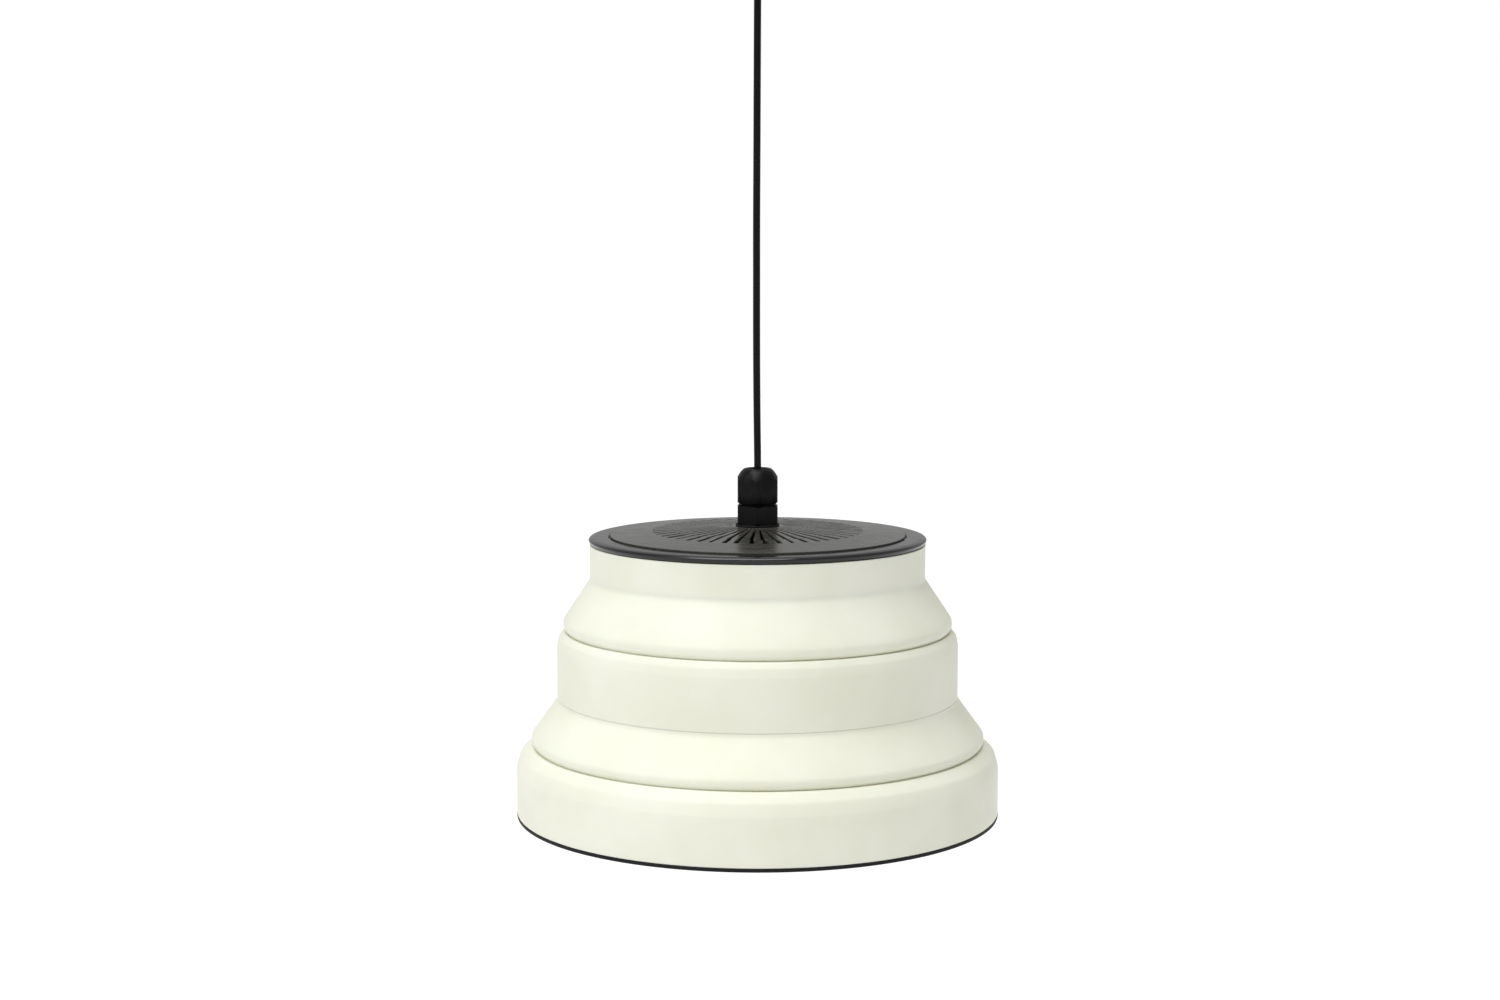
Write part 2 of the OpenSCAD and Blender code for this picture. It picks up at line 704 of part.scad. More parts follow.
ceiling_plate();
ceiling_cup();
cup_screws();
terminal_block();
swivel_ball();
cord_grip();
power_cord();
gland_nut();
gland_seal();
gland_body();
gland_washer();
gland_locknut();
vent_cover();
cover_screws();
cap_ring();
cap_screws();
housing();
driver_board();
cord_connector();
hv_transformer();
capacitors();
board_screws();
light_board();
light_diodes();
light_lens();
switch_dome();
push_button();
uv_post();
uv_diodes();
lamp_tube();
grid_bus_rings();
upper_insulator();
live_bars();
return_bars();
lower_insulator();
guard_top_ring();
guard_bars();
guard_base();
guard_screws();
catch_tray();
shade_collar();
shade_upper_web();
shade_middle_band();
shade_lower_web();
shade_lower_band();
bottom_trim();
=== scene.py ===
"""A hanging insect killer under a fold-up silicone shade: its looks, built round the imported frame."""

import math

import bpy
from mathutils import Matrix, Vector


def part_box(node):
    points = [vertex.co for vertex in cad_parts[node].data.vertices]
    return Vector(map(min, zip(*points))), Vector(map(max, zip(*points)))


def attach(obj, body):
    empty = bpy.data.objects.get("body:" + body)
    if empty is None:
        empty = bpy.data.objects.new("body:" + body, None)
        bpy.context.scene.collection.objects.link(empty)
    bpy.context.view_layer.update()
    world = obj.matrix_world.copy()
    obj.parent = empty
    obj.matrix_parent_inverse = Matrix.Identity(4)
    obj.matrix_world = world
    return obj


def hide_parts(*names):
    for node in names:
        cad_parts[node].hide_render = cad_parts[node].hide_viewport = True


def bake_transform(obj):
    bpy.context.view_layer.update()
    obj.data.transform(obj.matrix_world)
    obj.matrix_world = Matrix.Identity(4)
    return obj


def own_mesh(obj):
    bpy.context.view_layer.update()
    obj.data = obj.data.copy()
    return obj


bl_info = {
    "name": "Hanging insect killer",
    "version": (1, 0, 0),
    "blender": (4, 5, 0),
    "location": "View3D > Sidebar > Insect killer",
    "description": "Models the cord, gland, vented cap, shade and switch dome, and finishes the rest",
    "category": "Add Mesh",
}

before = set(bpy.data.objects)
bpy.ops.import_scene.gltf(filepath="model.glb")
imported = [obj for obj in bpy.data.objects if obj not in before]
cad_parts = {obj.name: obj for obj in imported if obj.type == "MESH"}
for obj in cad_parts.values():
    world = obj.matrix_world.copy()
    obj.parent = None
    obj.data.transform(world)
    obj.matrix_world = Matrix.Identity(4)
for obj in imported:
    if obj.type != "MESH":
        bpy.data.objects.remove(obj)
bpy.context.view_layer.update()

MM = 0.001
UP = (0.0, 0.0, 1.0)

SHADE_STEPS, CAP_STEPS, GLAND_STEPS, SMALL_STEPS = 224, 192, 96, 72    # facets round each piece
SOFT_ANGLE, CAP_ANGLE, GLAND_ANGLE = 60, 50, 40                        # degrees up to which edges are smooth
CORNER = math.radians(45)                                              # edges sharper than this are rounded


def span(name):
    """Radius, lowest and highest height of a CAD node that is centred on the lamp's axis."""
    low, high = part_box(name)
    return (high[0] - low[0]) / 2, low[2], high[2]


def srgb(text):
    """A colour such as #f2efe1 as linear red, green and blue."""
    parts = [int(text[i:i + 2], 16) / 255 for i in (1, 3, 5)]
    return tuple(p / 12.92 if p <= 0.04045 else ((p + 0.055) / 1.055) ** 2.4 for p in parts)


# ---------------------------------------------------------------- modelling tools

def deselect():
    """Leaves nothing selected, because an operator acts on all that is."""
    if bpy.context.object and bpy.context.object.mode != "OBJECT":
        bpy.ops.object.mode_set(mode="OBJECT")
    bpy.ops.object.select_all(action="DESELECT")


def edit(piece):
    """Goes into edit mode on one piece, with its whole mesh selected."""
    deselect()
    piece.select_set(True)
    bpy.context.view_layer.objects.active = piece
    bpy.ops.object.mode_set(mode="EDIT")
    bpy.ops.mesh.select_mode(type="VERT")
    bpy.ops.mesh.select_all(action="SELECT")


def leave():
    """Goes back to object mode."""
    bpy.ops.object.mode_set(mode="OBJECT")
    return bpy.context.object


def named(name):
    """Names the piece that was just made."""
    piece = bpy.context.object
    piece.name = piece.data.name = name
    return piece


def outline(corners, closed=True, stretch=None):
    """Turns (radius, height, fillet) corners into profile points, with an arc at each fillet.

    A stretch longer than the given length gets points along it."""
    count = len(corners)
    points = []
    for i, (r, z, fillet) in enumerate(corners):
        here = Vector((r, z))
        ends = not closed and i in (0, count - 1)
        if fillet == 0 or ends:
            points.append(here)
            continue
        before = Vector(corners[i - 1][:2]) - here
        after = Vector(corners[(i + 1) % count][:2]) - here
        half = before.angle(after) / 2
        reach = min(fillet / math.tan(half), before.length * 0.49, after.length * 0.49)
        steps = max(2, round((180 - math.degrees(half) * 2) / 15))
        first, last = here + before.normalized() * reach, here + after.normalized() * reach
        for s in range(steps + 1):
            t = s / steps
            points.append(first * (1 - t) ** 2 + here * 2 * t * (1 - t) + last * t ** 2)
    if stretch:
        filled = []
        for a, b in zip(points, points[1:] + points[:1]):
            parts = max(1, math.ceil((b - a).length / stretch))
            filled += [a.lerp(b, k / parts) for k in range(parts)]
        points = filled
    return points


def turn(name, points, closed=True, steps=144):
    """Turns a profile round the lamp's axis: a vertex is extruded along it, and the chain is spun."""
    deselect()
    bpy.ops.mesh.primitive_plane_add(size=MM)
    piece = named(name)
    edit(piece)
    bpy.ops.mesh.merge(type="CENTER")
    path = list(points) + ([points[0]] if closed else [])
    bpy.ops.transform.translate(value=(path[0][0], 0, path[0][1]))
    for a, b in zip(path, path[1:]):
        move = {"value": (b[0] - a[0], 0, b[1] - a[1])}
        bpy.ops.mesh.extrude_region_move(TRANSFORM_OT_translate=move)
    bpy.ops.mesh.select_all(action="SELECT")
    bpy.ops.mesh.spin(steps=steps, angle=math.tau, center=(0, 0, 0), axis=UP)
    bpy.ops.mesh.select_all(action="SELECT")
    bpy.ops.mesh.remove_doubles(threshold=MM / 500)
    bpy.ops.mesh.normals_make_consistent(inside=False)
    return leave()


def shaped(piece, kind, **settings):
    """Adds one modifier and applies it."""
    deselect()
    piece.select_set(True)
    bpy.context.view_layer.objects.active = piece
    modifier = piece.modifiers.new(kind.title(), kind)
    for key, value in settings.items():
        setattr(modifier, key, value)
    bpy.ops.object.modifier_apply(modifier=modifier.name)
    return piece


def cut(piece, cutter, operation="DIFFERENCE"):
    """Cuts a piece with another, which is used up."""
    shaped(piece, "BOOLEAN", operation=operation, object=cutter, solver="EXACT")
    bpy.data.objects.remove(cutter)
    return piece


def bar(name, radius, low, high, sides):
    """An upright cylinder or prism on the lamp's axis."""
    deselect()
    bpy.ops.mesh.primitive_cylinder_add(
        vertices=sides, radius=radius, depth=high - low,
        location=(0, 0, (low + high) / 2))
    bpy.ops.object.transform_apply(location=True, rotation=True, scale=True)
    return named(name)


def done(piece, body, material, nodes=(), angle=32):
    """Smooths a finished piece, gives it its material and body, and hides the CAD nodes it stands for."""
    deselect()
    piece.select_set(True)
    bpy.context.view_layer.objects.active = piece
    bpy.ops.object.shade_smooth_by_angle(angle=math.radians(angle))
    piece.data.materials.clear()
    piece.data.materials.append(material)
    if body:
        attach(piece, body)
    if nodes:
        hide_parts(*nodes)
    return piece


# ---------------------------------------------------------------- materials

def add(tree, kind, links=None, **settings):
    """Adds one node. A link is (node, output name); anything else is set on the socket."""
    node = tree.nodes.new(kind)
    for key, value in settings.items():
        setattr(node, key, value)
    for socket, value in (links or {}).items():
        if isinstance(value, tuple) and hasattr(value[0], "outputs"):
            tree.links.new(value[0].outputs[value[1]], node.inputs[socket])
        else:
            node.inputs[socket].default_value = value
    return node


def finish_of(name, colour, roughness, **sockets):
    """A new material with its shader set, its tree and its shader."""
    material = bpy.data.materials.new(name)
    material.use_nodes = True
    tree = material.node_tree
    shader = tree.nodes["Principled BSDF"]
    shader.inputs["Base Color"].default_value = (*srgb(colour), 1)
    shader.inputs["Roughness"].default_value = roughness
    for socket, value in sockets.items():
        shader.inputs[socket.replace("_", " ")].default_value = value
    return material, tree, shader


def speckle(tree, size, detail=3.0, stretch=(1, 1, 1)):
    """Noise whose grains are as large as size, in metres, from the piece's own coordinates."""
    where = add(tree, "ShaderNodeTexCoord")
    scaled = add(tree, "ShaderNodeMapping", {"Vector": (where, "Object"), "Scale": stretch})
    return add(tree, "ShaderNodeTexNoise", {
        "Vector": (scaled, "Vector"), "Scale": 1 / size, "Detail": detail})


def uneven(tree, shader, source, low, high):
    """Varies the roughness between two values by a noise."""
    rough = add(tree, "ShaderNodeMapRange", {
        "Value": (source, "Fac"), "From Min": 0.3, "From Max": 0.7, "To Min": low, "To Max": high})
    tree.links.new(rough.outputs["Result"], shader.inputs["Roughness"])


def tinted(tree, shader, source, output, dark, light):
    """Varies the base colour between two shades."""
    ramp = add(tree, "ShaderNodeValToRGB", {"Fac": (source, output)})
    ramp.color_ramp.elements[0].position, ramp.color_ramp.elements[1].position = 0.35, 0.65
    ramp.color_ramp.elements[0].color = (*srgb(dark), 1)
    ramp.color_ramp.elements[1].color = (*srgb(light), 1)
    tree.links.new(ramp.outputs["Color"], shader.inputs["Base Color"])


def embossed(tree, shader, source, output, height, strength=1.0):
    """Adds relief of the given height, in metres."""
    bump = add(tree, "ShaderNodeBump", {
        "Height": (source, output), "Distance": height, "Strength": strength})
    tree.links.new(bump.outputs["Normal"], shader.inputs["Normal"])


def silicone():
    """Moulded silicone, cream: soft satin skin, faint mottling, light passes a few millimetres in."""
    material, tree, shader = finish_of(
        "moulded_silicone_cream", "#f0f1e2", 0.45, IOR=1.41, Subsurface_Weight=0.25,
        Subsurface_Radius=(1.0, 0.85, 0.6), Subsurface_Scale=1.5 * MM, Specular_IOR_Level=0.4)
    cloud = speckle(tree, 38 * MM, 4)
    tinted(tree, shader, cloud, "Fac", "#eceddc", "#f2f3e5")
    dust = speckle(tree, 5 * MM, 5)
    uneven(tree, shader, dust, 0.38, 0.55)
    skin = speckle(tree, 0.9 * MM, 4)      # coarser than a real grain would be, so that it shows
    embossed(tree, shader, skin, "Fac", 0.03 * MM, 0.35)
    return material


def gloss_abs():
    """High-gloss moulded ABS, black: sharp reflections with faint wipe marks."""
    material, tree, shader = finish_of(
        "gloss_abs_black", "#111112", 0.16, IOR=1.54, Specular_IOR_Level=0.4)
    wipe = speckle(tree, 9 * MM, 6, (1, 4, 1))
    uneven(tree, shader, wipe, 0.13, 0.27)
    wave = speckle(tree, 14 * MM, 1)
    embossed(tree, shader, wave, "Fac", 0.05 * MM, 0.4)
    return material


def satin_abs():
    """Satin moulded ABS, charcoal: its base colour is partly the cover's own dark grey and partly painted
    reflection, lighter than plain black, and a broad soft reflection lies on it, so that its ribs read grey
    against the slots.
    """
    # the charcoal base colour is partly painted reflection of the room in the black plastic, and partly the
    # cover's own dark grey
    material, tree, shader = finish_of("satin_abs_charcoal_painted_reflection", "#403f3b", 0.24, IOR=1.54)
    wipe = speckle(tree, 7 * MM, 6, (1, 3, 1))
    tinted(tree, shader, wipe, "Fac", "#3a3935", "#464540")
    uneven(tree, shader, wipe, 0.2, 0.34)
    grain = speckle(tree, 1.1 * MM, 3)
    embossed(tree, shader, grain, "Fac", 0.02 * MM, 0.4)
    return material


def spark_abs(name, colour="#1c1c1e"):
    """Moulded ABS with a spark-eroded texture: an even fine grain that scatters the light."""
    material, tree, shader = finish_of(name, colour, 0.5, IOR=1.53)
    grain = speckle(tree, 0.7 * MM, 2)     # coarser than a real grain would be, so that it shows
    uneven(tree, shader, grain, 0.42, 0.58)
    embossed(tree, shader, grain, "Fac", 0.08 * MM, 0.5)
    return material


def nylon(name="moulded_nylon_black", colour="#0b0b0c", roughness=0.3):
    """Moulded nylon: a slightly waxy skin with shallow flow marks."""
    material, tree, shader = finish_of(name, colour, roughness, IOR=1.53, Specular_IOR_Level=0.14)
    flow = speckle(tree, 3 * MM, 4, (1, 1, 0.3))
    uneven(tree, shader, flow, roughness - 0.07, roughness + 0.09)
    embossed(tree, shader, flow, "Fac", 0.04 * MM, 0.6)
    return material


def soft_pvc():
    """Extruded PVC cord jacket, black: satin, with faint ripples from the two cores inside."""
    material, tree, shader = finish_of(
        "extruded_pvc_black", "#0c0c0d", 0.42, IOR=1.52, Specular_IOR_Level=0.14)
    ripple = speckle(tree, 4 * MM, 3, (1, 1, 0.25))
    uneven(tree, shader, ripple, 0.32, 0.5)
    embossed(tree, shader, ripple, "Fac", 0.1 * MM, 0.5)
    return material


def soft_rubber():
    """Moulded rubber, black: matt, dusty in its grain."""
    material, tree, shader = finish_of(
        "moulded_rubber_black", "#0f0f0f", 0.62, IOR=1.52, Specular_IOR_Level=0.25)
    dust = speckle(tree, 1.2 * MM, 5)
    tinted(tree, shader, dust, "Fac", "#0b0b0b", "#131313")
    embossed(tree, shader, dust, "Fac", 0.05 * MM, 0.5)
    return material


def zinc_steel():
    """Zinc-plated steel: bright metal with faint cloudy crystals."""
    material, tree, shader = finish_of("zinc_plated_steel", "#b9bcbf", 0.3, Metallic=1.0)
    where = add(tree, "ShaderNodeTexCoord")
    crystals = add(tree, "ShaderNodeTexVoronoi", {"Vector": (where, "Object"), "Scale": 1 / (5 * MM)})
    rough = add(tree, "ShaderNodeMapRange", {
        "Value": (crystals, "Distance"), "From Max": 0.8, "To Min": 0.24, "To Max": 0.42})
    tree.links.new(rough.outputs["Result"], shader.inputs["Roughness"])
    cloud = speckle(tree, 6 * MM, 3)
    tinted(tree, shader, cloud, "Fac", "#a9adb1", "#c6c8ca")
    return material


def stainless_wire():
    """Drawn stainless wire: bright, with fine lines along its length."""
    material, tree, shader = finish_of("drawn_stainless_wire", "#c4c6c8", 0.24, Metallic=1.0)
    lines = speckle(tree, 0.5 * MM, 3, (1, 1, 0.05))
    uneven(tree, shader, lines, 0.18, 0.34)
    embossed(tree, shader, lines, "Fac", 0.02 * MM, 0.5)
    return material


def aluminium_post():
    """Extruded aluminium: satin, with die lines along the post."""
    material, tree, shader = finish_of("extruded_aluminium", "#c9cbcd", 0.35, Metallic=1.0)
    lines = speckle(tree, 0.8 * MM, 2, (1, 1, 0.04))
    uneven(tree, shader, lines, 0.28, 0.45)
    embossed(tree, shader, lines, "Fac", 0.03 * MM, 0.5)
    return material


def opal_acrylic():
    """Opal acrylic: milky white, glossy skin, light spreads inside it."""
    material, tree, shader = finish_of(
        "opal_acrylic", "#f2f2ee", 0.22, IOR=1.49, Subsurface_Weight=0.6,
        Subsurface_Radius=(1.0, 1.0, 0.95), Subsurface_Scale=2.5 * MM, Transmission_Weight=0.12)
    haze = speckle(tree, 6 * MM, 3)
    uneven(tree, shader, haze, 0.17, 0.28)
    return material


def clear_polycarbonate():
    """Clear polycarbonate tube: transparent, with a faint violet cast and slight moulding haze."""
    material, tree, shader = finish_of(
        "clear_polycarbonate", "#eceafa", 0.06, IOR=1.585, Transmission_Weight=1.0)
    haze = speckle(tree, 8 * MM, 3)
    uneven(tree, shader, haze, 0.03, 0.11)
    return material


def solder_mask(name, dark, light):
    """Glass-epoxy circuit board under solder mask: the copper below shows as slightly paler shapes."""
    material, tree, shader = finish_of(name, light, 0.3, IOR=1.5, Coat_Weight=0.4, Coat_Roughness=0.2)
    where = add(tree, "ShaderNodeTexCoord")
    copper = add(tree, "ShaderNodeTexVoronoi", {"Vector": (where, "Object"), "Scale": 1 / (7 * MM)},
                 distance="MANHATTAN")
    tinted(tree, shader, copper, "Distance", dark, light)
    embossed(tree, shader, copper, "Distance", 0.03 * MM, 0.6)
    return material


def moulded(name, colour, roughness=0.42):
    """A plain moulded plastic part: even colour with slight gloss changes."""
    material, tree, shader = finish_of(name, colour, roughness, IOR=1.5)
    flow = speckle(tree, 4 * MM, 4)
    uneven(tree, shader, flow, roughness - 0.08, roughness + 0.1)
    embossed(tree, shader, flow, "Fac", 0.03 * MM, 0.4)
    return material


def metal(name, colour, roughness=0.3):
    """A stamped metal part with a worn, uneven polish."""
    material, tree, shader = finish_of(name, colour, roughness, Metallic=1.0)
    worn = speckle(tree, 3 * MM, 5)
    uneven(tree, shader, worn, roughness - 0.08, roughness + 0.15)
    return material


# ---------------------------------------------------------------- what a user would change

class StudioSettings(bpy.types.PropertyGroup):
    """Camera, lights and floor."""
    camera_reach: bpy.props.FloatProperty(
        name="Camera distance", description="Level distance from the camera to the lamp's axis",
        default=1.119, unit="LENGTH")
    camera_rise: bpy.props.FloatProperty(
        name="Camera height", description="Height of the camera above the lamp's lower edge",
        default=0.2719, unit="LENGTH")
    camera_side: bpy.props.FloatProperty(
        name="Camera side step", description="How far left of the lamp's axis the camera stands",
        default=0.0036, unit="LENGTH")
    camera_tilt: bpy.props.FloatProperty(
        name="Camera tilt", description="How far the camera looks down",
        default=math.radians(6.21), subtype="ANGLE")
    camera_lens: bpy.props.FloatProperty(
        name="Focal length", description="Focal length on a 36 mm sensor", default=56.9)
    floor_drop: bpy.props.FloatProperty(
        name="Floor below the ceiling", description="Height of the ceiling over the floor",
        default=2.2, unit="LENGTH")
    sky: bpy.props.FloatProperty(
        name="Room light", description="Strength of the even room light", default=0.3)
    wall_glow: bpy.props.FloatProperty(
        name="Reflected walls", description="Strength of the room as glossy parts mirror it", default=0.5)
    overhead: bpy.props.FloatProperty(
        name="Overhead light", description="Strength of the soft light from above", default=2.0)
    overhead_tilt: bpy.props.FloatVectorProperty(
        name="Overhead direction", description="Turn of the overhead light about X, Y and Z",
        default=(math.radians(12), math.radians(-8), 0), subtype="EULER")
    side: bpy.props.FloatProperty(
        name="Side light", description="Strength of the light from the left", default=0.6)
    side_tilt: bpy.props.FloatVectorProperty(
        name="Side direction", description="Turn of the side light about X, Y and Z",
        default=(math.radians(55), 0, math.radians(-50)), subtype="EULER")


class ShadeSettings(bpy.types.PropertyGroup):
    """The fold-up silicone shade."""
    crease: bpy.props.FloatProperty(
        name="Crease radius", description="Rounding where a web meets the wall above it",
        default=2.5 * MM, unit="LENGTH")
    notch: bpy.props.FloatProperty(
        name="Notch depth", description="Depth of the groove under each web", default=2 * MM, unit="LENGTH")
    shoulder_lean: bpy.props.FloatProperty(
        name="Shoulder lean", description="Share of the shoulder's turn that is reached at its middle",
        default=0.25)
    wall: bpy.props.FloatProperty(
        name="Band wall", description="Thickness of the bands", default=2.2 * MM, unit="LENGTH")
    web: bpy.props.FloatProperty(
        name="Web wall", description="Thickness of the folding webs", default=1.4 * MM, unit="LENGTH")


class CapSettings(bpy.types.PropertyGroup):
    """The vented cap."""
    slots: bpy.props.IntProperty(name="Slots", description="Number of vent slots", default=48)
    slot_start: bpy.props.FloatProperty(
        name="Slot start", description="Radius at which the slots start", default=12.5 * MM, unit="LENGTH")
    slot_end: bpy.props.FloatProperty(
        name="Slot end", description="Radius at which the slots end", default=50 * MM, unit="LENGTH")
    cover_step: bpy.props.FloatProperty(
        name="Cover step", description="How far the vent cover's edge stands above the rim ring beside it",
        default=0.7 * MM, unit="LENGTH")
    cover_wall: bpy.props.FloatProperty(
        name="Cover wall", description="Thickness of the vent cover", default=2 * MM, unit="LENGTH")


class GlandSettings(bpy.types.PropertyGroup):
    """The cable gland and the cord."""
    flats: bpy.props.FloatProperty(
        name="Across flats", description="Width of the nut and the body", default=19 * MM, unit="LENGTH")
    cord: bpy.props.FloatProperty(
        name="Cord diameter", description="Diameter of the cord", default=3.4 * MM, unit="LENGTH")


# ---------------------------------------------------------------- pieces

class ZAPPER_OT_stage(bpy.types.Operator):
    """Add the camera, the floor and the studio light"""
    bl_idname = "zapper.stage"
    bl_label = "Stage"

    def execute(self, context):
        look = context.scene.zapper_studio
        lamp_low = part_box("bottom_trim")[0][2]
        deselect()
        place = (-look.camera_side, -look.camera_reach, lamp_low + look.camera_rise)
        bpy.ops.object.camera_add(location=place, rotation=(math.pi / 2 - look.camera_tilt, 0, 0))
        camera = context.object
        camera.data.lens = look.camera_lens
        camera.data.sensor_width = 36
        context.scene.camera = camera

        floor_size, light_spread = 60, math.radians(45)
        bpy.ops.mesh.primitive_plane_add(size=floor_size, location=(0, 0, -look.floor_drop))
        bpy.ops.object.transform_apply(location=True, rotation=False, scale=False)
        floor = named("floor")
        material, tree, shader = finish_of(
            "pale_floor", "#ffffff", 0.85, Emission_Color=(1, 1, 1, 1), Emission_Strength=0.1)
        shade = speckle(tree, 0.4, 2)
        tinted(tree, shader, shade, "Fac", "#fdfdfd", "#ffffff")
        floor.data.materials.append(material)

        world = bpy.data.worlds.new("soft_room")
        world.use_nodes = True
        tree = world.node_tree
        room = tree.nodes["Background"]
        room.inputs["Color"].default_value = (*srgb("#ffffff"), 1)
        room.inputs["Strength"].default_value = look.sky
        path = add(tree, "ShaderNodeLightPath")
        layers = room
        for ray, strength in (("Is Glossy Ray", look.wall_glow), ("Is Camera Ray", 1.0)):
            seen = add(tree, "ShaderNodeBackground", {
                "Color": (*srgb("#ffffff"), 1), "Strength": strength})
            layers = add(tree, "ShaderNodeMixShader", {0: (path, ray), 1: (layers, 0), 2: (seen, 0)})
        tree.links.new(layers.outputs[0], tree.nodes["World Output"].inputs["Surface"])
        context.scene.world = world
        for tilt, energy in ((look.overhead_tilt, look.overhead), (look.side_tilt, look.side)):
            bpy.ops.object.light_add(type="SUN", rotation=tilt)
            sun = context.object.data
            sun.energy = energy
            sun.angle = light_spread
        context.scene.view_settings.view_transform = "Standard"
        return {"FINISHED"}


CORD_ROUTE = [
    (0, 0, -0.304), (0, 0, -0.29), (0, 0, -0.275), (0, 0, -0.262), (-0.0002, 0, -0.246),
    (-0.0004, 0, -0.225), (-0.0005, 0, -0.2), (-0.0005, 0, -0.175), (-0.0005, 0, -0.15),
    (-0.0004, 0, -0.125), (-0.0003, 0, -0.1), (-0.0002, 0, -0.075), (-0.0001, 0, -0.052),
    (0, 0, -0.038), (0, 0, -0.026), (0, 0, -0.012)]


class ZAPPER_OT_cord(bpy.types.Operator):
    """Add the power cord, taut between the gland and the ball"""
    bl_idname = "zapper.cord"
    bl_label = "Cord"

    def execute(self, context):
        size = context.scene.zapper_gland.cord
        curve = bpy.data.curves.new("cord", "CURVE")
        curve.dimensions = "3D"
        curve.bevel_depth = size / 2
        curve.bevel_resolution = 6
        curve.resolution_u = 6
        curve.use_fill_caps = True
        line = curve.splines.new("BEZIER")
        line.bezier_points.add(len(CORD_ROUTE) - 1)
        for point, place in zip(line.bezier_points, CORD_ROUTE):
            point.co = place
            point.handle_left_type = point.handle_right_type = "AUTO"
        piece = bpy.data.objects.new("cord", curve)
        context.scene.collection.objects.link(piece)
        curve.materials.append(soft_pvc())
        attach(piece, "pendant")
        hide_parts("power_cord")
        return {"FINISHED"}


class ZAPPER_OT_gland(bpy.types.Operator):
    """Add the cable gland: nut, seal, body and washer"""
    bl_idname = "zapper.gland"
    bl_label = "Cable gland"

    def execute(self, context):
        flats = context.scene.zapper_gland.flats
        black, rubber = nylon(), soft_rubber()
        low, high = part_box("gland_nut")[0][2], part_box("gland_nut")[1][2]
        corner = flats / math.sqrt(3)
        mouth, mouth_depth = 5.6 * MM, 2.5 * MM
        waist, waist_h = 2 * MM, 1.2 * MM
        side_top, crown_in, crown = 6.2 * MM, 3 * MM, 1.5 * MM
        thread = 7.9 * MM
        dome = turn("gland_nut_skin", outline([
            (0, low, 0), (corner - waist, low, 0), (corner - waist + 0.1 * MM, low + waist_h / 2, 0.2 * MM),
            (corner, low + waist_h, 0.3 * MM), (corner, high - side_top, 2 * MM),
            (corner - crown_in, high - crown, 2.4 * MM), (mouth + 0.8 * MM, high, 1.2 * MM),
            (mouth - 0.3 * MM, high, 0.3 * MM), (mouth - MM, high - mouth_depth, 0),
            (0, high - mouth_depth, 0)], closed=False),
            closed=False, steps=GLAND_STEPS)
        prism = bar("prism", corner, low - MM, high + MM, sides=6)
        shaped(prism, "BEVEL", width=1.1 * MM, segments=5, affect="EDGES", limit_method="ANGLE",
               angle_limit=CORNER)
        cut(dome, prism, "INTERSECT")
        shaped(dome, "BEVEL", width=0.22 * MM, segments=2, limit_method="ANGLE",
               angle_limit=math.radians(35))
        done(dome, "pendant", black, ["gland_nut"], GLAND_ANGLE)

        low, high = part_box("gland_body")[0][2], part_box("gland_body")[1][2]
        hex_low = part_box("gland_washer")[1][2]
        hex_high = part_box("gland_nut")[0][2] - 0.4 * MM
        body = turn("gland_body_skin", outline([
            (0, hex_low, 0), (corner - 1.8 * MM, hex_low, 0), (corner, hex_low + 0.8 * MM, 0.3 * MM),
            (corner, hex_high - 0.7 * MM, 0.3 * MM), (corner - 1.9 * MM, hex_high, 0), (0, hex_high, 0)],
            closed=False), closed=False, steps=GLAND_STEPS)
        prism = bar("prism", corner, hex_low - MM, hex_high + MM, sides=6)
        shaped(prism, "BEVEL", width=0.8 * MM, segments=4, limit_method="ANGLE", angle_limit=CORNER)
        cut(body, prism, "INTERSECT")
        neck = bar("neck", thread - 0.4 * MM, hex_high - MM, high, sides=SMALL_STEPS)
        shank = bar("shank", thread, low, hex_low + MM, sides=SMALL_STEPS)
        body = cut(cut(body, neck, "UNION"), shank, "UNION")
        done(body, "pendant", black, ["gland_body"], GLAND_ANGLE)

        radius, low, high = span("gland_washer")
        washer = turn("gland_washer_skin", outline([
            (thread, low, 0), (radius, low, 0.35 * MM), (radius, high, 0.35 * MM), (thread, high, 0)]),
            steps=GLAND_STEPS)
        done(washer, "pendant", rubber, ["gland_washer"])

        radius, low, high = span("gland_seal")
        cord_r = context.scene.zapper_gland.cord / 2
        seal = turn("gland_seal_skin", outline([
            (cord_r, low, 0), (radius, low, 0), (radius, high - 1.6 * MM, 0.6 * MM),
            (radius - 1.1 * MM, high - 0.3 * MM, 0.5 * MM), (cord_r + 0.9 * MM, high - 0.2 * MM, 0.3 * MM),
            (cord_r, high - 1.1 * MM, 0)]), steps=SMALL_STEPS)
        done(seal, "pendant", rubber, ["gland_seal"])
        return {"FINISHED"}


